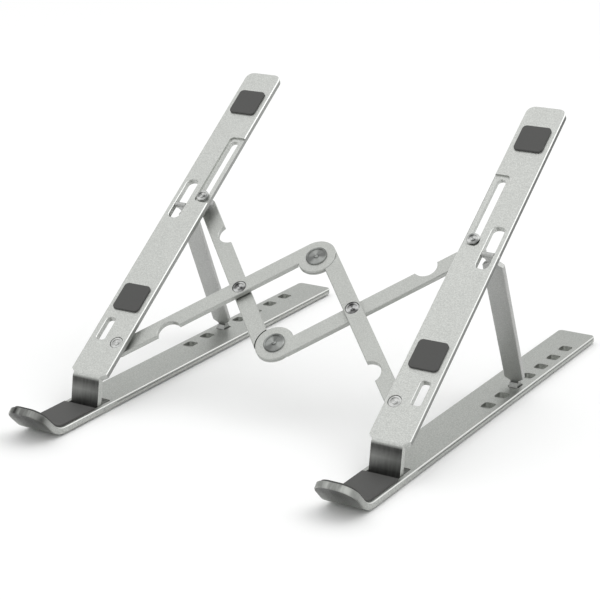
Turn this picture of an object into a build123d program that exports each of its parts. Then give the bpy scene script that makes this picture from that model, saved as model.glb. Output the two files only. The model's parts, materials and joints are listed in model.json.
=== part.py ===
from build123d import *
import math
import os

# Foldable aluminium laptop stand: two mirrored sides joined by a lazy-tongs scissor.
# Millimetres, +X to the user's right, +Y to the back, +Z up, standing on z = 0.
# The origin is on the table, midway between the sides and midway from front to back.

# --- arms -------------------------------------------------------------------
ARM_LENGTH = 232.0  # top face, from the shoulder line to the rear end
ARM_WIDTH = 24.0
ARM_THICKNESS = 3.6
ARM_TILT = 36.0  # degrees above the rails in the modelled notch
ARM_CORNER = 5.2
ARM_LIFT = 45.0  # degrees the arms can be raised from the modelled notch
SHOULDER_HEIGHT = 22.0  # shoulder line above the underside of the rail
RISER_WIDTH = 18.0
RISER_LEAN = 8.0  # degrees, foot of the riser ahead of the bend
NOSE_LENGTH = 4.2  # shoulder line to the bend line
SHOULDER_RUN = 2.8  # length over which the arm narrows to the riser
BEND_RADIUS = 4.2  # outside of the bend
EDGE_CHAMFER = 0.45

# --- base rails -------------------------------------------------------------
RAIL_REACH = 257.85  # hinge axis to the rear end
RAIL_THICKNESS = 3.8
RAIL_CORNER = 3.0
LIP_START = 34.15  # hinge axis to the start of the lip's curve
LIP_RADIUS = 14.0  # inside of the curve
LIP_ANGLE = 45.0
LIP_LENGTH = 15.5  # straight part past the curve
LIP_CORNER = 9.0
WINDOW_REAR = 10.6  # hinge axis to the back of the hinge window
WINDOW_CORNER = 1.2
GROOVE = 0.45
GROOVE_DROP = 1.3  # groove centre below the top face
GROOVE_START = 13.0  # hinge axis to the groove's front end
NOTCH_COUNT = 7
NOTCH_PITCH = 18.7
NOTCH_FIRST = 117.85  # hinge axis to the rear wall of the first notch
NOTCH_LENGTH = 9.5
NOTCH_WIDTH = 6.8
NOTCH_REAR_CORNER = 2.0
NOTCH_FRONT_CORNER = 2.8
NOTCH_DEPTH = 3.0
NOTCH_USED = 2  # counted from 0 at the front

# --- pins and hinges --------------------------------------------------------
HINGE_PIN_RADIUS = 1.0
STRUT_BARREL_RADIUS = 1.65
STRUT_PIN_RADIUS = 0.9
RUN_GAP = 0.05  # radial gap of a running pin
SEAT_GAP = 0.02  # radial gap of a pin or rivet fixed in its own piece
SIDE_GAP = 0.4  # between flanks of pieces that turn on one another

# --- struts -----------------------------------------------------------------
STRUT_AT = 123.7  # along the arm, shoulder line to the strut pin
STRUT_ACROSS = 17.2  # arm's inner edge to the strut's middle
STRUT_WIDTH = 12.6
STRUT_FOOT_WIDTH = 12.0
STRUT_THICKNESS = 3.0
NECK_WIDTH = 5.2
NECK_LENGTH = 8.5
TONGUE_WIDTH = 5.0
TONGUE_LENGTH = 8.2
TOE_REACH = 3.0  # ahead of the strut's front face
TOE_THICKNESS = 2.8
STRUT_SHOULDER = 2.4  # neck to full width
STRUT_PIN_DEPTH = 2.6  # into the web past the slot
FOLDED_GAP = 0.3  # strut to the arm's underside when folded up

# --- arm slots --------------------------------------------------------------
STRUT_SLOT_WIDTH = 7.6
SLOT_CORNER = 3.3
SLOT_CHAMFER = 0.3
STRUT_SLOT_BELOW = 10.9  # strut pin to the lower end
STRUT_SLOT_ABOVE = 18.7  # strut pin to the upper end
GUIDE_WIDTH = 5.2
GUIDE_SPARE = 1.6  # past the sliding rivet's folded place
GUIDE_PLAY = 0.2  # rivet collar to each flank
REBATE_WIDTH = 9.6
REBATE_CORNER = 2.6
REBATE_DEPTH = 1.0
REBATE_BELOW = 1.8  # past the guide slot's lower end
REBATE_ABOVE = 2.6  # past the guide slot's upper end
TOE_SLOT_AT = 28.8  # along the arm, to the slot that takes the folded strut's toe
TOE_SLOT_LENGTH = 15.6
TOE_SLOT_WIDTH = 5.8
TOE_SLOT_CORNER = 2.0

# --- scissor ----------------------------------------------------------------
LINK_OUTER = 75.5  # outer rivet to crossing
LINK_INNER = 46.5  # crossing to knuckle, along the link
LINK_WIDTH = 10.0
LINK_THICKNESS = 3.0
LINK_ANGLE = 47.0  # degrees from the X axis, fully open
RIVET_AT = 21.0  # along the arm, shoulder line to the fixed rivet
RIVET_INSET = 5.5  # arm's inner edge to the outer rivets
FOLD_GAP = 1.5  # between the folded arms
LAYER_GAP = 0.6  # between the upper and lower links
UNDER_ARM_GAP = 1.3  # between the arms and the upper links
LAP_GAP = 0.3
NOTCH_MARGIN = 0.8  # link notch round a knuckle head

# --- rivets -----------------------------------------------------------------
SHANK_RADIUS = 2.0
FLUSH_HEAD_RADIUS = 3.8
CROSS_HEAD_RADIUS = 4.1
KNUCKLE_HEAD_RADIUS = 6.2
KNUCKLE_HEAD_HEIGHT = 0.95
FLUSH_HEAD_DEPTH = 0.9
HEAD_PLAY = 0.1  # recess round a flush head
SLIDE_HEAD_HEIGHT = 1.9
TAIL_RADIUS = 3.3
TAIL_HEIGHT = 0.45
BUSH_RADIUS = 4.0
FACE_GAP = 0.05  # axial gap between faces that rub
LAP_WASHER_RADIUS = 5.0
HEAD_CHAMFER = 0.4
DISH_DEPTH = 0.4
DISH_RIM = 1.3
DIMPLE_RADIUS = 1.5
LINK_CHAMFER = 0.35

# --- silicone ---------------------------------------------------------------
PAD_THICKNESS = 1.2
PAD_WIDTH = 17.5
PAD_LENGTH = 18.6
PAD_CORNER = 2.6
LOWER_PAD_AT = 52.0
UPPER_PAD_INSET = 25.2  # arm's rear end to the upper pad's middle
LIP_PAD_INSET = 1.7
FOOT_THICKNESS = 1.0
FOOT_WIDTH = 16.0
FOOT_LENGTH = 26.0
FOOT_CORNER = 4.0
FOOT_REAR_AT = 24.0  # rear end to the middle of the rear foot
FOOT_FRONT_AT = 20.0  # hinge axis to the middle of the front foot
PAD_CHAMFER = 0.3

# --- worked out -------------------------------------------------------------
KNUCKLE_OFFSET = RIVET_INSET + FOLD_GAP / 2
KNUCKLE_RADIUS = KNUCKLE_OFFSET + LINK_WIDTH / 2
tilt = math.radians(ARM_TILT)
spread = math.radians(LINK_ANGLE)
rivet_x = (LINK_OUTER + LINK_INNER) * math.cos(spread) + KNUCKLE_OFFSET * math.sin(spread)
side_x = rivet_x - RIVET_INSET + ARM_WIDTH / 2
slide_at = RIVET_AT + 2 * LINK_OUTER * math.sin(spread)
folded_at = RIVET_AT + 2 * LINK_OUTER

lip_turn = math.radians(LIP_ANGLE)
lip_outer = LIP_RADIUS + RAIL_THICKNESS
lip_reach = LIP_START + lip_outer * math.sin(lip_turn)
lip_reach += (LIP_LENGTH - EDGE_CHAMFER) * math.cos(lip_turn)
hinge_y = (lip_reach - RAIL_REACH) / 2
rail_top = FOOT_THICKNESS + RAIL_THICKNESS
hinge_z = FOOT_THICKNESS + RAIL_THICKNESS / 2
barrel_radius = ARM_THICKNESS / 2
lean = math.radians(RISER_LEAN)
foot_y = hinge_y - barrel_radius / math.cos(lean)
shoulder_z = FOOT_THICKNESS + SHOULDER_HEIGHT
bend_z = shoulder_z - NOSE_LENGTH * math.sin(tilt)
bend_y = foot_y + (bend_z - hinge_z) * math.tan(lean)
shoulder_y = bend_y + NOSE_LENGTH * math.cos(tilt)

lift = math.radians(ARM_LIFT)
# The riser's lean is left out of its sweep, which leaves the window some room to spare.
riser_sweep = barrel_radius / math.cos(lift)
riser_sweep += (rail_top + PAD_THICKNESS - hinge_z) * math.tan(lift)
window_front = riser_sweep + SIDE_GAP

arm_plane = Plane(
    origin=(0, shoulder_y, shoulder_z),
    x_dir=(1, 0, 0),
    z_dir=(0, -math.sin(tilt), math.cos(tilt)),
)
upper_top = -ARM_THICKNESS - UNDER_ARM_GAP
lower_top = upper_top - LINK_THICKNESS - LAYER_GAP


def on_arm(across, along, height=0.0):
    """Point in space from its place on the arms' plane."""
    return arm_plane.from_local_coords(Vector(across, along, height))


def rotated(dy, dz, angle):
    """A (y, z) direction turned by an angle in radians."""
    return (
        dy * math.cos(angle) - dz * math.sin(angle),
        dy * math.sin(angle) + dz * math.cos(angle),
    )


# The strut runs from its pin to the rear wall of the notch it stands in.
strut_pin = on_arm(0, STRUT_AT, -ARM_THICKNESS / 2)
strut_drop = ARM_THICKNESS / 2 + FOLDED_GAP
strut_back = strut_drop + STRUT_THICKNESS
notch_floor = rail_top - NOTCH_DEPTH
notch_slope = math.atan2(NOTCH_DEPTH, NOTCH_LENGTH)
notch_wall = hinge_y + NOTCH_FIRST + NOTCH_USED * NOTCH_PITCH
heel_y = notch_wall - SIDE_GAP
heel_z = notch_floor + SIDE_GAP
heel_run = math.hypot(heel_y - strut_pin.Y, heel_z - strut_pin.Z)
strut_length = math.sqrt(heel_run**2 - strut_back**2)
heel_angle = math.atan2(heel_z - strut_pin.Z, heel_y - strut_pin.Y)
strut_angle = heel_angle - math.asin(strut_back / heel_run)


def side_plane(x):
    """Plane across X whose local x is +Y and local y is +Z."""
    return Plane(origin=(x, 0, 0), x_dir=(0, 1, 0), z_dir=(1, 0, 0))


def finish(piece, label):
    """Name a finished piece and write its STEP file."""
    piece.part.label = label
    export_step(piece.part, f"parts/{label}.step")


def across(side, inward):
    """X of a point on one arm, measured outward from its inner edge."""
    return side * (rivet_x - RIVET_INSET + inward)


def notch_cutter():
    """Cutter for one ratchet notch: steep rear wall at y = 0, ramp to the front, top at z = 0."""
    with BuildPart() as cutter:
        with BuildSketch(Plane.XY.offset(-NOTCH_DEPTH)):
            with Locations((0, -NOTCH_LENGTH / 2)):
                Rectangle(NOTCH_WIDTH, NOTCH_LENGTH)
        extrude(amount=NOTCH_DEPTH)
        rear = cutter.edges().filter_by(Axis.Z).group_by(Axis.Y)[-1]
        fillet(rear, NOTCH_REAR_CORNER)
        front = cutter.edges().filter_by(Axis.Z).group_by(Axis.Y)[0]
        fillet(front, NOTCH_FRONT_CORNER)
        with BuildSketch(side_plane(0)):
            with BuildLine():
                Polyline((0, 0), (-NOTCH_LENGTH, 0), (0, -NOTCH_DEPTH), close=True)
            make_face()
        extrude(amount=NOTCH_WIDTH / 2, both=True, mode=Mode.INTERSECT)
    return cutter.part


def rail_profile():
    """Side view of the rail: flat bar with its front end curved up into the lip."""
    rear_y = hinge_y + RAIL_REACH
    with BuildSketch(Plane.XY, mode=Mode.PRIVATE) as profile:
        with BuildLine():
            base = Line((rear_y, FOOT_THICKNESS), (hinge_y - LIP_START, FOOT_THICKNESS))
            curve = JernArc(base @ 1, (-1, 0), lip_outer, -LIP_ANGLE)
            slope = curve % 1
            rise = Line(curve @ 1, curve @ 1 + LIP_LENGTH * slope)
            tip = Line(rise @ 1, rise @ 1 + RAIL_THICKNESS * Vector(slope.Y, -slope.X))
            fall = Line(tip @ 1, tip @ 1 - LIP_LENGTH * slope)
            inner = JernArc(fall @ 1, -1 * slope, LIP_RADIUS, LIP_ANGLE)
            Line(inner @ 1, (rear_y, rail_top))
            Line((rear_y, rail_top), base @ 0)
        make_face()
    return profile.sketch


def base_rail(side, label):
    """Bar with an upturned lip, hinge window, ratchet notches and side grooves."""
    centre = side * side_x
    near_face = side_plane(centre - ARM_WIDTH / 2)
    notch_x = across(side, STRUT_ACROSS)
    cutter = notch_cutter()
    with BuildPart() as rail:
        with BuildSketch(near_face):
            add(rail_profile())
        extrude(amount=ARM_WIDTH)
        rear = rail.edges().filter_by(Axis.Z).group_by(Axis.Y)[-1]
        fillet(rear, RAIL_CORNER)
        tip_axis = Axis((0, 0, 0), (0, math.sin(lip_turn), math.cos(lip_turn)))
        fillet(rail.edges().filter_by(tip_axis), LIP_CORNER)
        chamfer(rail.edges().filter_by(Axis.Y), EDGE_CHAMFER)
        window_y = hinge_y + (WINDOW_REAR - window_front) / 2
        with BuildSketch(Plane.XY.offset(FOOT_THICKNESS)):
            with Locations((centre, window_y)):
                RectangleRounded(
                    RISER_WIDTH + 2 * SIDE_GAP, WINDOW_REAR + window_front, WINDOW_CORNER
                )
        extrude(amount=RAIL_THICKNESS, mode=Mode.SUBTRACT)
        with BuildSketch(near_face):
            with Locations((hinge_y, hinge_z)):
                Circle(HINGE_PIN_RADIUS + SEAT_GAP)
        extrude(amount=ARM_WIDTH, mode=Mode.SUBTRACT)
        groove_length = RAIL_REACH - GROOVE_START
        groove_y = hinge_y + GROOVE_START + groove_length / 2
        with Locations(
            (centre - ARM_WIDTH / 2, groove_y, rail_top - GROOVE_DROP),
            (centre + ARM_WIDTH / 2, groove_y, rail_top - GROOVE_DROP),
        ):
            Box(2 * GROOVE, groove_length, GROOVE, mode=Mode.SUBTRACT)
        for index in range(NOTCH_COUNT):
            wall = hinge_y + NOTCH_FIRST + index * NOTCH_PITCH
            with Locations((notch_x, wall, rail_top)):
                add(cutter, mode=Mode.SUBTRACT)
    finish(rail, label)


def lip_pad(side, label):
    """Silicone lining from the hinge window over the flat and up the inside of the lip."""
    width = ARM_WIDTH - 2 * LIP_PAD_INSET
    start = hinge_y - window_front
    pad_radius = LIP_RADIUS - PAD_THICKNESS
    with BuildPart() as pad:
        with BuildSketch(side_plane(side * side_x - width / 2)):
            with BuildLine():
                under = Line((start, rail_top), (hinge_y - LIP_START, rail_top))
                outer = JernArc(under @ 1, (-1, 0), LIP_RADIUS, -LIP_ANGLE)
                slope = outer % 1
                run = LIP_LENGTH - LIP_PAD_INSET
                rise = Line(outer @ 1, outer @ 1 + run * slope)
                tip = Line(rise @ 1, rise @ 1 + PAD_THICKNESS * Vector(slope.Y, -slope.X))
                fall = Line(tip @ 1, tip @ 1 - run * slope)
                inner = JernArc(fall @ 1, -1 * slope, pad_radius, LIP_ANGLE)
                Line(inner @ 1, (start, rail_top + PAD_THICKNESS))
                Line((start, rail_top + PAD_THICKNESS), under @ 0)
            make_face()
        extrude(amount=width)
        tip_axis = Axis((0, 0, 0), (0, math.sin(lip_turn), math.cos(lip_turn)))
        fillet(pad.edges().filter_by(tip_axis), LIP_CORNER - LIP_PAD_INSET)
    finish(pad, label)


def foot_pads(side, label):
    """Two silicone feet under one rail."""
    centre = side * side_x
    with BuildPart() as feet:
        with BuildSketch(Plane.XY):
            with Locations(
                (centre, hinge_y - FOOT_FRONT_AT),
                (centre, hinge_y + RAIL_REACH - FOOT_REAR_AT),
            ):
                RectangleRounded(FOOT_WIDTH, FOOT_LENGTH, FOOT_CORNER)
        extrude(amount=FOOT_THICKNESS)
    finish(feet, label)


def hinge_pin(side, label):
    """Steel pin across the rail's window."""
    length = ARM_WIDTH - 2 * HEAD_PLAY
    with BuildPart() as pin:
        with BuildSketch(side_plane(side * side_x - length / 2)):
            with Locations((hinge_y, hinge_z)):
                Circle(HINGE_PIN_RADIUS)
        extrude(amount=length)
    finish(pin, label)


def arm_outline():
    """Corners of the arm's side view, from the riser's foot over the bend and back."""
    along = Vector(math.cos(tilt), math.sin(tilt))
    down = ARM_THICKNESS * Vector(math.sin(tilt), -math.cos(tilt))
    foot = Vector(foot_y, hinge_z)
    bend = Vector(bend_y, bend_z)
    end = Vector(shoulder_y, shoulder_z) + ARM_LENGTH * along
    turn = math.pi / 2 - lean - tilt
    inside = bend + down + ARM_THICKNESS * math.tan(turn / 2) * along
    foot_back = foot + Vector(ARM_THICKNESS / math.cos(lean), 0)
    return [foot, bend, end, end + down, inside, foot_back]


def arm(side, label):
    """Bar bent down into a riser, with slots, rivet seats and a hinge barrel."""
    centre = side * side_x
    near_x = centre - ARM_WIDTH / 2
    corners = arm_outline()
    down = (0, math.sin(tilt), -math.cos(tilt))
    guide_end = folded_at + GUIDE_SPARE
    rebate_low = slide_at - GUIDE_WIDTH / 2 - REBATE_BELOW
    rebate_high = guide_end + GUIDE_WIDTH / 2 + REBATE_ABOVE
    slot_low = STRUT_AT - STRUT_SLOT_BELOW
    slot_high = STRUT_AT + STRUT_SLOT_ABOVE
    with BuildPart() as bar:
        with BuildSketch(side_plane(near_x)):
            with BuildLine():
                Polyline(*corners, close=True)
            make_face()
        extrude(amount=ARM_WIDTH)
        cross_edges = bar.edges().filter_by(Axis.X)
        outer_bend = cross_edges.sort_by_distance((centre, corners[1].X, corners[1].Y))[0]
        fillet(outer_bend, BEND_RADIUS)
        cross_edges = bar.edges().filter_by(Axis.X)
        inner_bend = cross_edges.sort_by_distance((centre, corners[4].X, corners[4].Y))[0]
        fillet(inner_bend, BEND_RADIUS - ARM_THICKNESS)
        fillet(bar.edges().filter_by(Axis((0, 0, 0), down)), ARM_CORNER)
        long_edges = bar.edges().filter_by(Axis((0, 0, 0), (0, *rotated(1, 0, tilt))))
        chamfer(long_edges, EDGE_CHAMFER)
        # Ahead of the shoulders the bar is narrower.
        with BuildSketch(arm_plane):
            for flank in (-1, 1):
                with BuildLine():
                    Polyline(
                        (centre + flank * RISER_WIDTH / 2, -ARM_WIDTH),
                        (centre + flank * RISER_WIDTH / 2, -SHOULDER_RUN),
                        (centre + flank * (ARM_WIDTH / 2 + EDGE_CHAMFER), 0),
                        (centre + flank * (ARM_WIDTH / 2 + EDGE_CHAMFER), -ARM_WIDTH),
                        close=True,
                    )
                make_face()
        extrude(amount=ARM_WIDTH, both=True, mode=Mode.SUBTRACT)
        with BuildSketch(side_plane(centre - RISER_WIDTH / 2)):
            with Locations((hinge_y, hinge_z)):
                Circle(barrel_radius)
        extrude(amount=RISER_WIDTH)
        with BuildSketch(side_plane(near_x)):
            with Locations((hinge_y, hinge_z)):
                Circle(HINGE_PIN_RADIUS + RUN_GAP)
        extrude(amount=ARM_WIDTH, mode=Mode.SUBTRACT)
        # Shallow rebate, open at the inner edge, in which the sliding rivet's head runs.
        with BuildSketch(arm_plane):
            with Locations((across(side, 0), (rebate_low + rebate_high) / 2)):
                RectangleRounded(2 * REBATE_WIDTH, rebate_high - rebate_low, REBATE_CORNER)
        extrude(amount=-REBATE_DEPTH, mode=Mode.SUBTRACT)
        with BuildSketch(arm_plane):
            with Locations((across(side, STRUT_ACROSS), (slot_low + slot_high) / 2)):
                RectangleRounded(STRUT_SLOT_WIDTH, slot_high - slot_low, SLOT_CORNER)
            with Locations((across(side, STRUT_ACROSS), TOE_SLOT_AT)):
                RectangleRounded(TOE_SLOT_WIDTH, TOE_SLOT_LENGTH, TOE_SLOT_CORNER)
        extrude(amount=-ARM_THICKNESS, mode=Mode.SUBTRACT)
        upwards = Axis(arm_plane.origin, arm_plane.z_dir)
        top = bar.faces().filter_by(arm_plane).sort_by(upwards)[-1]
        chamfer([edge for rim in top.inner_wires() for edge in rim.edges()], SLOT_CHAMFER)
        with BuildSketch(arm_plane):
            with Locations((across(side, RIVET_INSET), (slide_at + guide_end) / 2)):
                SlotCenterToCenter(guide_end - slide_at, GUIDE_WIDTH, rotation=90)
            with Locations((across(side, RIVET_INSET), RIVET_AT)):
                Circle(SHANK_RADIUS + SEAT_GAP)
        extrude(amount=-ARM_THICKNESS, mode=Mode.SUBTRACT)
        with BuildSketch(arm_plane):
            with Locations((across(side, RIVET_INSET), RIVET_AT)):
                Circle(FLUSH_HEAD_RADIUS + HEAD_PLAY)
        extrude(amount=-FLUSH_HEAD_DEPTH, mode=Mode.SUBTRACT)
        with BuildSketch(side_plane(strut_pin_span(side)[0])):
            with Locations((strut_pin.Y, strut_pin.Z)):
                Circle(STRUT_PIN_RADIUS + SEAT_GAP)
        extrude(amount=strut_pin_length + HEAD_PLAY, mode=Mode.SUBTRACT)
    finish(bar, label)


def arm_pad(side, along, label):
    """Silicone pad on the arm's top face."""
    with BuildPart() as pad:
        with BuildSketch(arm_plane):
            with Locations((side * side_x, along)):
                RectangleRounded(PAD_WIDTH, PAD_LENGTH, PAD_CORNER)
        extrude(amount=PAD_THICKNESS)
        top = pad.faces().sort_by(Axis((0, 0, 0), tuple(arm_plane.z_dir)))[-1]
        chamfer(top.edges(), PAD_CHAMFER)
    finish(pad, label)


def strut_pin_span(side):
    """X of the lower and upper end of the strut pin's bore on one side."""
    inner = across(side, STRUT_ACROSS - STRUT_SLOT_WIDTH / 2 - STRUT_PIN_DEPTH)
    outer = across(side, ARM_WIDTH)
    return min(inner, outer), max(inner, outer)


strut_pin_length = strut_pin_span(1)[1] - strut_pin_span(1)[0] - HEAD_PLAY


def strut_pin_piece(side, label):
    """Steel pin that the strut swings on, entered from the arm's outer edge."""
    low, high = strut_pin_span(side)
    start = low if side > 0 else low + HEAD_PLAY
    with BuildPart() as pin:
        with BuildSketch(side_plane(start)):
            with Locations((strut_pin.Y, strut_pin.Z)):
                Circle(STRUT_PIN_RADIUS)
        extrude(amount=strut_pin_length)
    finish(pin, label)


def strut_side_view():
    """Corners of the strut from the side: x along it from the pin, y towards its back."""
    run, rise = rotated(-math.cos(notch_slope), math.sin(notch_slope), -strut_angle)
    sole = (strut_drop - TOE_REACH - strut_back) / rise
    tip = (strut_length + sole * run, strut_drop - TOE_REACH)
    tip_top = (tip[0] + TOE_THICKNESS * rise, tip[1] - TOE_THICKNESS * run)
    instep = (strut_drop - tip_top[1]) / rise
    return [
        (0, -STRUT_BARREL_RADIUS),
        (NECK_LENGTH - 1.5, strut_drop),
        (tip_top[0] + instep * run, strut_drop),
        tip_top,
        tip,
        (strut_length, strut_back),
        (NECK_LENGTH - 4.5, strut_back),
        (0, STRUT_BARREL_RADIUS),
    ]


def strut_front_view():
    """Half outline of the strut from the front: x across, y along it from the pin."""
    barrel = STRUT_SLOT_WIDTH / 2 - GUIDE_PLAY
    shoulder = strut_length - TONGUE_LENGTH
    return [
        (0, -2 * STRUT_BARREL_RADIUS),
        (barrel, -2 * STRUT_BARREL_RADIUS),
        (barrel, STRUT_BARREL_RADIUS + GUIDE_PLAY),
        (NECK_WIDTH / 2, STRUT_BARREL_RADIUS + 1),
        (NECK_WIDTH / 2, NECK_LENGTH - 1),
        (STRUT_WIDTH / 2, NECK_LENGTH - 1 + STRUT_SHOULDER),
        (STRUT_FOOT_WIDTH / 2, shoulder - STRUT_SHOULDER),
        (TONGUE_WIDTH / 2, shoulder),
        (TONGUE_WIDTH / 2, strut_length + 1),
        (0, strut_length + 1),
    ]


def strut(side, label):
    """Prop with a barrel in the arm's slot, a cranked neck and a tongue for the notches."""
    centre = across(side, STRUT_ACROSS)
    along = (0, math.cos(strut_angle), math.sin(strut_angle))
    back = (0, -math.sin(strut_angle), math.cos(strut_angle))
    pivot = (strut_pin.Y, strut_pin.Z)
    edge_on = Plane(
        origin=(centre - STRUT_WIDTH / 2, *pivot), x_dir=along, z_dir=(1, 0, 0)
    )
    face_on = Plane(origin=(centre, *pivot), x_dir=(1, 0, 0), z_dir=back)
    with BuildPart() as prop:
        with BuildSketch(edge_on):
            Circle(STRUT_BARREL_RADIUS)
            with BuildLine():
                Polyline(*strut_side_view(), close=True)
            make_face()
        extrude(amount=STRUT_WIDTH)
        with BuildSketch(face_on):
            with BuildLine():
                Polyline(*strut_front_view(), close=True)
            make_face()
            mirror(about=Plane.YZ)
        extrude(amount=2 * strut_back, both=True, mode=Mode.INTERSECT)
        chamfer(prop.edges().sort_by(SortBy.LENGTH)[-4:], EDGE_CHAMFER)
        with BuildSketch(edge_on):
            Circle(STRUT_PIN_RADIUS + RUN_GAP)
        extrude(amount=STRUT_WIDTH, mode=Mode.SUBTRACT)
    finish(prop, label)


def turned(x, along, steps, label):
    """Rivet square to the arms: steps are (radius, lower, upper) heights, head first."""
    head_radius, _, head_top = steps[0]
    with BuildPart() as piece:
        for radius, lower, upper in steps:
            with BuildSketch(arm_plane.offset(lower)):
                with Locations((x, along)):
                    Circle(radius)
            extrude(amount=upper - lower)
        rims = piece.edges().filter_by(GeomType.CIRCLE).group_by(SortBy.RADIUS)[-1]
        chamfer(rims.sort_by(Axis(on_arm(x, along), arm_plane.z_dir))[-1], HEAD_CHAMFER)
        with BuildSketch(arm_plane.offset(head_top)):
            with Locations((x, along)):
                Circle(head_radius - DISH_RIM)
                Circle(DIMPLE_RADIUS, mode=Mode.SUBTRACT)
        extrude(amount=-DISH_DEPTH, mode=Mode.SUBTRACT)
    finish(piece, label)


def washer(x, along, inner, outer, lower, upper, label):
    """Flat ring square to the arms."""
    with BuildPart() as ring:
        with BuildSketch(arm_plane.offset(lower)):
            with Locations((x, along)):
                Circle(outer)
                Circle(inner, mode=Mode.SUBTRACT)
        extrude(amount=upper - lower)
    finish(ring, label)


def fixed_rivet(side, label):
    """Flush rivet that holds an upper link under the arm."""
    link_under = upper_top - LINK_THICKNESS
    tail_top = link_under - FACE_GAP
    steps = [
        (FLUSH_HEAD_RADIUS, -FLUSH_HEAD_DEPTH, -FACE_GAP),
        (SHANK_RADIUS, tail_top, -FLUSH_HEAD_DEPTH),
        (TAIL_RADIUS, tail_top - TAIL_HEIGHT, tail_top),
    ]
    turned(side * rivet_x, RIVET_AT, steps, label)


def slide_rivet(side, label):
    """Rivet whose head rides in the arm's rebate and whose collar rides in the guide slot."""
    head_under = FACE_GAP - REBATE_DEPTH
    bush_top = -ARM_THICKNESS - FACE_GAP
    link_under = lower_top - LINK_THICKNESS
    steps = [
        (FLUSH_HEAD_RADIUS, head_under, head_under + SLIDE_HEAD_HEIGHT),
        (GUIDE_WIDTH / 2 - GUIDE_PLAY, bush_top, head_under),
        (SHANK_RADIUS, link_under, bush_top),
        (TAIL_RADIUS, link_under - TAIL_HEIGHT, link_under),
    ]
    turned(side * rivet_x, slide_at, steps, label)


def crossing_rivet(side, label):
    """Rivet with a flush head in the upper link and a flush tail in the lower link."""
    crossing_x = rivet_x - LINK_OUTER * math.cos(spread)
    top = upper_top - FACE_GAP
    under = lower_top - LINK_THICKNESS + FACE_GAP
    head_under = upper_top - FLUSH_HEAD_DEPTH
    tail_top = lower_top - LINK_THICKNESS + FLUSH_HEAD_DEPTH - FACE_GAP
    steps = [
        (CROSS_HEAD_RADIUS, head_under, top),
        (SHANK_RADIUS, tail_top, head_under),
        (CROSS_HEAD_RADIUS, under, tail_top),
    ]
    turned(side * crossing_x, crossing_at, steps, label)


def knuckle_rivet(along, layer_top, label):
    """Large-headed rivet through two half-lapped knuckle discs."""
    under = layer_top - LINK_THICKNESS
    steps = [
        (KNUCKLE_HEAD_RADIUS, layer_top, layer_top + KNUCKLE_HEAD_HEIGHT),
        (SHANK_RADIUS, under - FACE_GAP, layer_top),
        (KNUCKLE_HEAD_RADIUS, under - KNUCKLE_HEAD_HEIGHT, under - FACE_GAP),
    ]
    turned(0, along, steps, label)


def link_plane(side, rising):
    """Plane of one link: origin at its outer rivet, x along it, z towards its lapped side."""
    direction = Vector(-side * math.cos(spread), rising * math.sin(spread))
    start = RIVET_AT if rising > 0 else slide_at
    layer_top = upper_top if rising > 0 else lower_top
    upwards = side * rising < 0
    height = layer_top - LINK_THICKNESS if upwards else layer_top
    x_dir = arm_plane.x_dir * direction.X + arm_plane.y_dir * direction.Y
    z_dir = arm_plane.z_dir if upwards else -1 * arm_plane.z_dir
    return Plane(origin=on_arm(side * rivet_x, start, height), x_dir=x_dir, z_dir=z_dir)


def link(side, rising, label):
    """One of four identical links: round outer end, crossing seat, half-lapped knuckle."""
    plane = link_plane(side, rising)
    span = LINK_OUTER + LINK_INNER
    knuckle = (span, -KNUCKLE_OFFSET)
    passing = (LINK_OUTER - LINK_INNER, -KNUCKLE_OFFSET)
    with BuildPart() as bar:
        with BuildSketch(plane):
            Circle(LINK_WIDTH / 2)
            with Locations((span / 2, 0)):
                Rectangle(span, LINK_WIDTH)
            with Locations(knuckle):
                Circle(KNUCKLE_RADIUS)
            with Locations(passing):
                Circle(KNUCKLE_HEAD_RADIUS + NOTCH_MARGIN, mode=Mode.SUBTRACT)
        extrude(amount=LINK_THICKNESS)
        upright = Axis(plane.origin, plane.z_dir)
        chamfer(bar.edges().filter_by(upright, reverse=True), LINK_CHAMFER)
        with BuildSketch(plane):
            with Locations(knuckle):
                Circle(KNUCKLE_RADIUS + SIDE_GAP)
        extrude(amount=(LINK_THICKNESS + LAP_GAP) / 2, mode=Mode.SUBTRACT)
        with BuildSketch(plane):
            with Locations((0, 0), (LINK_OUTER, 0), knuckle):
                Circle(SHANK_RADIUS + RUN_GAP)
        extrude(amount=LINK_THICKNESS, mode=Mode.SUBTRACT)
        for face in (plane, plane.offset(LINK_THICKNESS - FLUSH_HEAD_DEPTH)):
            with BuildSketch(face):
                with Locations((LINK_OUTER, 0)):
                    Circle(CROSS_HEAD_RADIUS + HEAD_PLAY)
            extrude(amount=FLUSH_HEAD_DEPTH, mode=Mode.SUBTRACT)
    finish(bar, label)


crossing_at = RIVET_AT + LINK_OUTER * math.sin(spread)
knuckle_reach = LINK_INNER * math.sin(spread) - KNUCKLE_OFFSET * math.cos(spread)
knuckle_tops = {"top": upper_top, "bottom": lower_top}
knuckle_places = {"top": crossing_at + knuckle_reach, "bottom": crossing_at - knuckle_reach}


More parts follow.
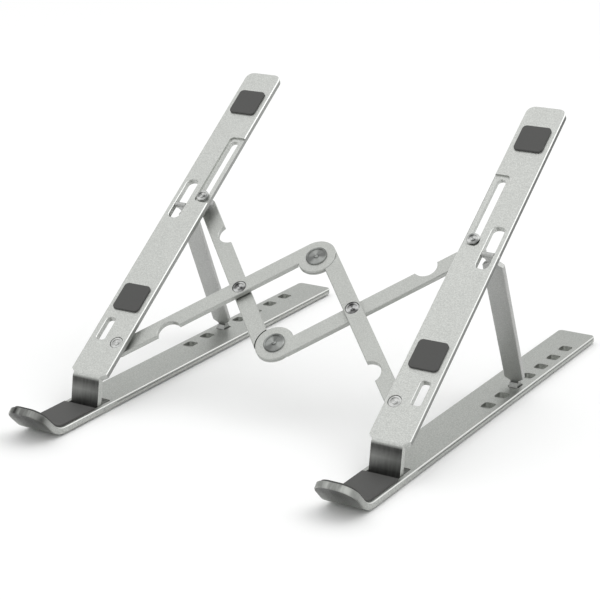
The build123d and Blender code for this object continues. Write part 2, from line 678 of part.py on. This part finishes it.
def build_side(side, name):
    """Every piece of one side."""
    base_rail(side, f"base_rail_{name}")
    lip_pad(side, f"lip_pad_{name}")
    foot_pads(side, f"foot_pads_{name}")
    hinge_pin(side, f"hinge_pin_{name}")
    arm(side, f"arm_{name}")
    arm_pad(side, LOWER_PAD_AT, f"lower_pad_{name}")
    arm_pad(side, ARM_LENGTH - UPPER_PAD_INSET, f"upper_pad_{name}")
    strut(side, f"strut_{name}")
    strut_pin_piece(side, f"strut_pin_{name}")
    fixed_rivet(side, f"fixed_rivet_{name}")
    bore = SHANK_RADIUS + SEAT_GAP
    under_arm = (upper_top + FACE_GAP, -ARM_THICKNESS)
    washer(
        side * rivet_x, RIVET_AT, bore, BUSH_RADIUS, *under_arm, f"fixed_washer_{name}"
    )
    slide_rivet(side, f"slide_rivet_{name}")
    bush_span = (lower_top, -ARM_THICKNESS - FACE_GAP)
    washer(
        side * rivet_x, slide_at, bore, BUSH_RADIUS, *bush_span, f"slide_bush_{name}"
    )
    link(side, 1, f"upper_link_{name}")
    link(side, -1, f"lower_link_{name}")
    crossing_rivet(side, f"crossing_rivet_{name}")
    crossing_x = side * (rivet_x - LINK_OUTER * math.cos(spread))
    seat_span = (
        lower_top - FLUSH_HEAD_DEPTH + FACE_GAP,
        lower_top + LAYER_GAP + FLUSH_HEAD_DEPTH,
    )
    washer(
        crossing_x, crossing_at, bore, BUSH_RADIUS, *seat_span, f"crossing_washer_{name}"
    )


def build_knuckles():
    """Rivet and lap washer of the top and the bottom knuckle."""
    for name, layer_top in knuckle_tops.items():
        along = knuckle_places[name]
        knuckle_rivet(along, layer_top, f"knuckle_rivet_{name}")
        lap_top = layer_top - (LINK_THICKNESS - LAP_GAP) / 2
        lap_span = (lap_top - LAP_GAP + FACE_GAP, lap_top)
        bore = SHANK_RADIUS + SEAT_GAP
        washer(0, along, bore, LAP_WASHER_RADIUS, *lap_span, f"lap_washer_{name}")


if __name__ == "__main__":
    os.makedirs("parts", exist_ok=True)
    build_side(-1, "left")
    build_side(1, "right")
    build_knuckles()
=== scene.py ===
import json
import math

import bpy
from mathutils import Matrix, Vector


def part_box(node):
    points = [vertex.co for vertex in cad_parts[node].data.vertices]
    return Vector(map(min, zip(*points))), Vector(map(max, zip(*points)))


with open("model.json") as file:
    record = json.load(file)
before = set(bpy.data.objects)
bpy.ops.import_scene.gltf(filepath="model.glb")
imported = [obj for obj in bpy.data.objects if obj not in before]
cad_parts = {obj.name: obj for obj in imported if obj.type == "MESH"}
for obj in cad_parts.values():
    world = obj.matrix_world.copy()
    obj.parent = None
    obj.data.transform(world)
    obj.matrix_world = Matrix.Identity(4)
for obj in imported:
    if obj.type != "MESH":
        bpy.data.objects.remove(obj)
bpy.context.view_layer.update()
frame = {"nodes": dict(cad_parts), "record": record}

# --- camera, in metres ---
CAMERA_AT = (0.48606, -0.86456, 0.37327)
CAMERA_YAW = math.radians(30.09)  # turned left of +Y
CAMERA_PITCH = math.radians(-17.88)
CAMERA_ROLL = math.radians(0.46)
CAMERA_LENS = 109.63  # millimetres on a 36 mm sensor


def make_camera():
    data = bpy.data.cameras.new("camera")
    data.sensor_width = 36.0
    data.lens = CAMERA_LENS
    data.clip_start = 0.01
    data.clip_end = 50.0
    camera = bpy.data.objects.new("camera", data)
    bpy.context.scene.collection.objects.link(camera)
    forward = Vector((
        -math.sin(CAMERA_YAW) * math.cos(CAMERA_PITCH),
        math.cos(CAMERA_YAW) * math.cos(CAMERA_PITCH),
        math.sin(CAMERA_PITCH),
    ))
    level = Vector((math.cos(CAMERA_YAW), math.sin(CAMERA_YAW), 0.0))
    above = level.cross(forward)
    right = level * math.cos(CAMERA_ROLL) + above * math.sin(CAMERA_ROLL)
    up = above * math.cos(CAMERA_ROLL) - level * math.sin(CAMERA_ROLL)
    camera.matrix_world = Matrix((
        (right.x, up.x, -forward.x, CAMERA_AT[0]),
        (right.y, up.y, -forward.y, CAMERA_AT[1]),
        (right.z, up.z, -forward.z, CAMERA_AT[2]),
        (0.0, 0.0, 0.0, 1.0),
    ))
    bpy.context.scene.camera = camera


# --- finishes ---
RAIL_FACE = (0.465, 0.475, 0.455)
ARM_FACE = (0.535, 0.545, 0.525)
# painted highlight on the upward chamfers
PAINTED_HIGHLIGHT = (0.85, 0.86, 0.84)
PAINTED_SIDE_SHADE = {  # painted shade on the arms' milled side faces, per arm: lower end of the arm, upper end of the arm
    "left": ((0.33, 0.335, 0.325), (0.33, 0.335, 0.325)),
    "right": ((0.30, 0.305, 0.295), (0.12, 0.122, 0.118)),
}
ROUGH_FACE = 0.42
RISER_TOP = 0.0204  # just under the bend
RISER_EDGE = 0.0016  # over which the riser's painted shade ends
RISER_SHADE = 0.003  # painted shade band under the bend
# RISER_MIDDLE and RISER_FOOT: peak and foot of the painted reflection band on the riser
RISER_MIDDLE = 0.0128
RISER_FOOT = 0.0065
LIP_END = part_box("base_rail_left")[0].y + 0.004
LIP_FADE = 0.014
# dark and light of each rivet kind's painted reflection sectors
RIVET_REFLECTION_TONES = {
    "fixed": ((0.42, 0.425, 0.415), (0.58, 0.585, 0.575)),
    "slide": ((0.22, 0.225, 0.22), (0.56, 0.565, 0.555)),
    "crossing": ((0.10, 0.10, 0.10), (0.50, 0.505, 0.50)),
    "knuckle": ((0.15, 0.155, 0.15), (0.32, 0.33, 0.32)),
}
ARM_TILT = math.radians(36.0)
UP_SLOPE = (0.0, math.cos(ARM_TILT), math.sin(ARM_TILT))
GRAIN_SCALE = 1500.0
FINE_GRAIN_SCALE = 2200.0
CLOUD_SCALE = 60.0
RING_DENSITY = 16000.0  # turning rings, radians per metre
PHASE_STEP = 1.3  # turns each rivet's painted reflection sectors from the last one's


class Shader:
    """Node tree of one material, with its Principled BSDF."""

    def __init__(self, name, base, metallic, roughness):
        self.material = bpy.data.materials.new(name)
        self.material.use_nodes = True
        self.nodes = self.material.node_tree.nodes
        self.links = self.material.node_tree.links
        self.bsdf = self.nodes["Principled BSDF"]
        self.bsdf.inputs["Base Color"].default_value = (*base, 1.0)
        self.bsdf.inputs["Metallic"].default_value = metallic
        self.bsdf.inputs["Roughness"].default_value = roughness

    def add(self, kind, **values):
        node = self.nodes.new(kind)
        for key, value in values.items():
            setattr(node, key, value)
        return node

    def join(self, source, target):
        self.links.new(source, target)

    def object_space(self):
        return self.add("ShaderNodeTexCoord").outputs["Object"]

    def mapped(self, scale):
        mapping = self.add("ShaderNodeMapping")
        mapping.inputs["Scale"].default_value = scale
        self.join(self.object_space(), mapping.inputs["Vector"])
        return mapping.outputs["Vector"]

    def noise(self, vector, scale, detail=2.0):
        node = self.add("ShaderNodeTexNoise")
        node.inputs["Scale"].default_value = scale
        node.inputs["Detail"].default_value = detail
        self.join(vector, node.inputs["Vector"])
        return node.outputs["Fac"]

    def spread(self, value, low, high, new_low, new_high):
        node = self.add("ShaderNodeMapRange")
        node.inputs["From Min"].default_value = low
        node.inputs["From Max"].default_value = high
        node.inputs["To Min"].default_value = new_low
        node.inputs["To Max"].default_value = new_high
        self.join(value, node.inputs["Value"])
        return node.outputs["Result"]

    def math(self, operation, first, second=None):
        node = self.add("ShaderNodeMath", operation=operation)
        for socket, value in zip(node.inputs, (first, second)):
            if value is None:
                continue
            if isinstance(value, (int, float)):
                socket.default_value = value
            else:
                self.join(value, socket)
        return node.outputs[0]

    def mix(self, factor, first, second):
        node = self.add("ShaderNodeMix", data_type="RGBA")
        self.join(factor, node.inputs["Factor"])
        for name, value in (("A", first), ("B", second)):
            socket = [s for s in node.inputs if s.name == name and s.type == "RGBA"][0]
            if isinstance(value, tuple):
                socket.default_value = (*value, 1.0)
            else:
                self.join(value, socket)
        return [s for s in node.outputs if s.type == "RGBA"][0]

    def bump(self, height, strength, distance):
        node = self.add("ShaderNodeBump")
        node.inputs["Strength"].default_value = strength
        node.inputs["Distance"].default_value = distance
        self.join(height, node.inputs["Height"])
        self.join(node.outputs["Normal"], self.bsdf.inputs["Normal"])

    def tint(self, value):
        self.join(value, self.bsdf.inputs["Base Color"])

    def rough(self, value):
        self.join(value, self.bsdf.inputs["Roughness"])

    def parts_of(self, output):
        split = self.add("ShaderNodeSeparateXYZ")
        self.join(self.add("ShaderNodeTexCoord").outputs[output], split.inputs[0])
        return split.outputs

    def normal_parts(self):
        return self.parts_of("Normal")

    def place_parts(self):
        return self.parts_of("Object")


def blasted_metal(shader, face, depth, scale=GRAIN_SCALE):
    """Sandblasted grain: sets the roughness and the bump, and returns the sparkling colour."""
    grain = shader.noise(shader.object_space(), scale, 1.0)
    cloud = shader.noise(shader.object_space(), CLOUD_SCALE, 1.0)
    sparkle = shader.spread(grain, 0.35, 0.7, 0.0, 1.0)
    blend = shader.math("ADD", sparkle, shader.spread(cloud, 0.3, 0.7, -0.06, 0.06))
    dark = tuple(c * (1.0 - depth) for c in face)
    light = tuple(min(1.0, c * (1.0 + depth)) for c in face)
    shader.rough(shader.spread(grain, 0.35, 0.7, ROUGH_FACE + 0.06, ROUGH_FACE - 0.06))
    shader.bump(grain, 0.2, 0.0002)
    return shader.mix(blend, dark, light)


def chamfer_highlight_mask(shader):
    """1 on upward chamfers along the long edges, where a highlight is painted, 0 elsewhere."""
    parts = shader.normal_parts()
    across = shader.math("ABSOLUTE", parts[0])
    rising = shader.spread(across, 0.5, 0.6, 0.0, 1.0)
    falling = shader.spread(across, 0.8, 0.9, 1.0, 0.0)
    upward = shader.spread(parts[2], 0.2, 0.3, 0.0, 1.0)
    return shader.math("MULTIPLY", shader.math("MULTIPLY", rising, falling), upward)


def streaks(shader, scale, low, high):
    """Noise stretched along one direction, spread over low to high: brush marks on the riser,
    painted highlight and shade streaks on the rail's lip.
    """
    return shader.spread(shader.noise(shader.mapped(scale), 1.0, 3.0), 0.35, 0.65, low, high)


def arm_metal(side):
    """Blasted top, milled sides in painted shade, painted highlights on the upper chamfers and
    a brushed riser in painted shade with a painted reflection band.
    """
    shader = Shader(f"arm_{side}", ARM_FACE, 1.0, ROUGH_FACE)
    face = blasted_metal(shader, ARM_FACE, 0.11)
    low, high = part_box(f"arm_{side}")
    place = shader.place_parts()
    offset = shader.math("ABSOLUTE", shader.math("SUBTRACT", place[0], (low.x + high.x) / 2))
    half = (high.x - low.x) / 2
    outer = shader.spread(offset, half - 0.0003, half - 0.0001, 0.0, 1.0)
    rise = shader.spread(place[2], low.z, high.z, 0.0, 1.0)
    # painted shade on the milled side faces; on the right arm it darkens towards the upper end
    side_shade = shader.mix(rise, *PAINTED_SIDE_SHADE[side])
    coloured = shader.mix(outer, face, side_shade)
    # painted highlight on the upward chamfers
    coloured = shader.mix(chamfer_highlight_mask(shader), coloured, PAINTED_HIGHLIGHT)
    front = shader.spread(shader.math("ABSOLUTE", shader.normal_parts()[0]), 0.3, 0.6, 1.0, 0.0)
    below = shader.spread(place[2], RISER_TOP - RISER_EDGE, RISER_TOP, 1.0, 0.0)
    brushed = streaks(shader, (700.0, 700.0, 25.0), 0.05, 0.2)
    # painted reflection: a lighter band climbing from the riser's foot to its middle and
    # falling off below the bend
    reflection_rise = shader.spread(place[2], RISER_FOOT, RISER_MIDDLE, 0.0, 0.75)
    reflection_fall = shader.spread(place[2], RISER_MIDDLE, RISER_TOP - RISER_SHADE, 0.0, 0.75)
    tone = shader.math("ADD", brushed, shader.math("SUBTRACT", reflection_rise, reflection_fall))
    # riser in painted shade, with the painted reflection band and brush streaks
    riser_shade_and_reflection = shader.mix(tone, (0.07, 0.07, 0.068), (0.27, 0.275, 0.265))
    is_riser = shader.math("MULTIPLY", front, below)
    shader.tint(shader.mix(is_riser, coloured, riser_shade_and_reflection))
    return shader.material


def rail_metal(side):
    """Blasted bar with light sides, painted highlights on the upper chamfers and a lip streaked
    with painted highlight and painted shade.
    """
    shader = Shader(f"rail_{side}", RAIL_FACE, 1.0, ROUGH_FACE)
    face = blasted_metal(shader, RAIL_FACE, 0.14)
    # painted highlight on the upward chamfers
    coloured = shader.mix(chamfer_highlight_mask(shader), face, PAINTED_HIGHLIGHT)
    place = shader.place_parts()
    lip = shader.spread(place[1], LIP_END, LIP_END + LIP_FADE, 1.0, 0.0)
    # painted highlight and shade streaks across the lip's rounded end
    tone = streaks(shader, (170.0, 20.0, 20.0), 0.0, 1.0)
    lip_highlight_and_shade = shader.mix(tone, (0.05, 0.05, 0.048), (0.46, 0.47, 0.45))
    # painted shade on the lip's downward faces
    below = shader.spread(shader.normal_parts()[2], -0.6, -0.2, 0.75, 0.0)
    lip_highlight_and_shade = shader.mix(below, lip_highlight_and_shade, (0.07, 0.07, 0.068))
    shader.tint(shader.mix(lip, coloured, lip_highlight_and_shade))
    return shader.material


def bar_metal(name, base, depth):
    """Blasted bar without special edges."""
    shader = Shader(name, base, 1.0, ROUGH_FACE)
    shader.tint(blasted_metal(shader, base, depth, FINE_GRAIN_SCALE))
    return shader.material


def turned_metal(name, dark, light, phase):
    """Turned rivet: bright and dark sectors of painted reflection about its own axis, with fine
    rings.
    """
    shader = Shader(name, light, 1.0, 0.25)
    low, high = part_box(name)
    centre = (low + high) / 2
    shift = shader.add("ShaderNodeVectorMath", operation="SUBTRACT")
    shader.join(shader.object_space(), shift.inputs[0])
    shift.inputs[1].default_value = centre
    radial = []
    for direction in ((1.0, 0.0, 0.0), UP_SLOPE):
        along = shader.add("ShaderNodeVectorMath", operation="DOT_PRODUCT")
        shader.join(shift.outputs[0], along.inputs[0])
        along.inputs[1].default_value = direction
        radial.append(along.outputs["Value"])
    angle = shader.math("ARCTAN2", radial[1], radial[0])
    wave = shader.math("SINE", shader.math("ADD", shader.math("MULTIPLY", angle, 2.0), phase))
    third = shader.math("SINE", shader.math("ADD", shader.math("MULTIPLY", angle, 5.0), phase))
    reflection_sectors = shader.math("ADD", wave, shader.math("MULTIPLY", third, 0.4))
    squares = [shader.math("MULTIPLY", value, value) for value in radial]
    radius = shader.math("SQRT", shader.math("ADD", squares[0], squares[1]))
    rings = shader.math("SINE", shader.math("MULTIPLY", radius, RING_DENSITY))
    # painted reflection in bright and dark sectors
    tone = shader.spread(reflection_sectors, -0.9, 0.9, 0.0, 1.0)
    shader.tint(shader.mix(tone, dark, light))
    shader.bump(rings, 0.25, 0.0001)
    return shader.material


def plain_metal(name, base, roughness):
    shader = Shader(name, base, 1.0, roughness)
    wear = shader.noise(shader.object_space(), 900.0, 2.0)
    dark = tuple(c * 0.85 for c in base)
    light = tuple(c * 1.15 for c in base)
    shader.tint(shader.mix(wear, dark, light))
    shader.rough(shader.spread(wear, 0.3, 0.7, roughness - 0.05, roughness + 0.05))
    return shader.material


def silicone(name, base):
    shader = Shader(name, base, 0.0, 0.62)
    pores = shader.noise(shader.object_space(), 2500.0, 2.0)
    dark = tuple(c * 0.88 for c in base)
    light = tuple(c * 1.12 for c in base)
    shader.tint(shader.mix(pores, dark, light))
    shader.bump(pores, 0.15, 0.0002)
    return shader.material


def dress():
    """Gives every CAD node its own finish."""
    rubber = silicone("silicone", (0.06, 0.06, 0.058))
    steel = plain_metal("steel", (0.45, 0.45, 0.45), 0.35)
    links = bar_metal("links", (0.47, 0.48, 0.46), 0.12)
    struts = bar_metal("struts", (0.45, 0.455, 0.445), 0.12)
    slots = {entry["node"]: entry["material_slot"] for entry in frame["record"]["subparts"]}
    plain = {"silicone": rubber, "steel": steel, "links": links, "struts": struts}
    for index, (name, node) in enumerate(sorted(frame["nodes"].items())):
        slot = slots[name]
        side = name.split("_")[-1]
        if slot == "bars":
            finish = arm_metal(side) if name.startswith("arm") else rail_metal(side)
        elif slot == "rivets":
            dark, light = RIVET_REFLECTION_TONES[name.split("_")[0]]
            finish = turned_metal(name, dark, light, index * PHASE_STEP)
        else:
            finish = plain[slot]
        for holder in node.material_slots:
            holder.material = finish


def area_light(name, at, aim, size, power):
    data = bpy.data.lights.new(name, "AREA")
    data.shape = "RECTANGLE"
    data.size, data.size_y = size
    data.energy = power
    light = bpy.data.objects.new(name, data)
    bpy.context.scene.collection.objects.link(light)
    light.location = at
    light.rotation_euler = (Vector(aim) - Vector(at)).to_track_quat("-Z", "Y").to_euler()


def make_world():
    """Studio dome: bright overhead, dimmer towards the horizon."""
    world = bpy.data.worlds.new("studio")
    world.use_nodes = True
    bpy.context.scene.world = world
    nodes, links = world.node_tree.nodes, world.node_tree.links
    background = nodes["Background"]
    place = nodes.new("ShaderNodeTexCoord")
    split = nodes.new("ShaderNodeSeparateXYZ")
    ramp = nodes.new("ShaderNodeValToRGB")
    links.new(place.outputs["Generated"], split.inputs[0])
    links.new(split.outputs["Z"], ramp.inputs["Fac"])
    links.new(ramp.outputs["Color"], background.inputs["Color"])
    stops = ramp.color_ramp.elements
    stops[0].position, stops[0].color = 0.0, (0.42, 0.43, 0.42, 1.0)
    stops[1].position, stops[1].color = 1.0, (1.0, 1.0, 1.0, 1.0)
    background.inputs["Strength"].default_value = 1.3


FLOOR_SIZE = 40.0


def make_floor():
    bpy.ops.mesh.primitive_plane_add(size=FLOOR_SIZE, location=(0.0, 0.0, 0.0))
    floor = bpy.context.object
    floor.name = "floor"
    shader = Shader("floor", (0.93, 0.93, 0.93), 0.0, 0.9)
    floor.data.materials.append(shader.material)


make_camera()
make_world()
make_floor()
area_light("key", (0.9, 0.5, 1.6), (0.0, 0.0, 0.05), (1.2, 1.2), 4.0)
dress()
bpy.context.scene.view_settings.view_transform = "Standard"
